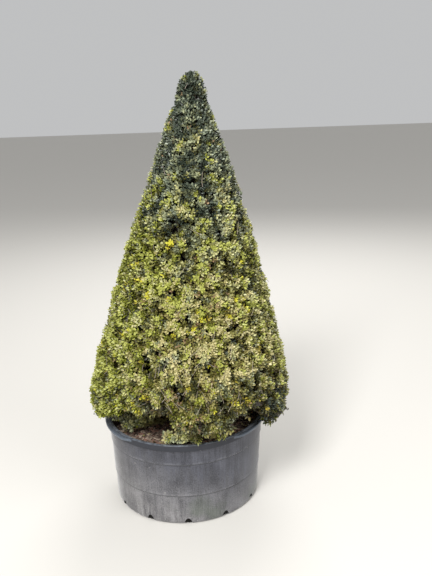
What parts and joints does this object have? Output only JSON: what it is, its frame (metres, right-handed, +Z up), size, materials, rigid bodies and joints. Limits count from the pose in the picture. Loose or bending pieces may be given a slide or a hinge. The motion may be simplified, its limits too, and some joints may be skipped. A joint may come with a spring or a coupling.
{
  "type": "boxwood cone topiary in a nursery pot",
  "caption": "Clipped boxwood cone with a blunt tip, fine leaves and a slight lean, growing in a low round nursery pot with two lifting flanges.",
  "frame": {"origin": "centre of the pot's flat underside", "axes": "+Z up through the plant, -Y towards the side that the picture shows, +X to that side's right"},
  "size_m": [0.8474, 0.8511, 1.7296],
  "materials": {
    "pot": "weathered black polyethylene, greyed and dusty",
    "potting_mix": "loose bark mix",
    "bark": "fine corky bark",
    "foliage": "small leathery leaves with a soft gloss"
  },
  "bodies": {
    "root": {"pot": "pot", "potting_mix": "potting_mix", "trunk": "bark", "skirt_bough_1": "bark", "skirt_bough_2": "bark", "skirt_bough_3": "bark", "skirt_bough_4": "bark", "skirt_bough_5": "bark", "skirt_bough_6": "bark", "middle_bough_1": "bark", "middle_bough_2": "bark", "middle_bough_3": "bark", "middle_bough_4": "bark", "middle_bough_5": "bark", "upper_bough_1": "bark", "upper_bough_2": "bark", "upper_bough_3": "bark", "skirt_foliage_1": "foliage", "skirt_foliage_2": "foliage", "skirt_foliage_3": "foliage", "skirt_foliage_4": "foliage", "skirt_foliage_5": "foliage", "skirt_foliage_6": "foliage", "middle_foliage_1": "foliage", "middle_foliage_2": "foliage", "middle_foliage_3": "foliage", "middle_foliage_4": "foliage", "middle_foliage_5": "foliage", "upper_foliage_1": "foliage", "upper_foliage_2": "foliage", "upper_foliage_3": "foliage", "tip_foliage": "foliage"}
  },
  "joints": []
}
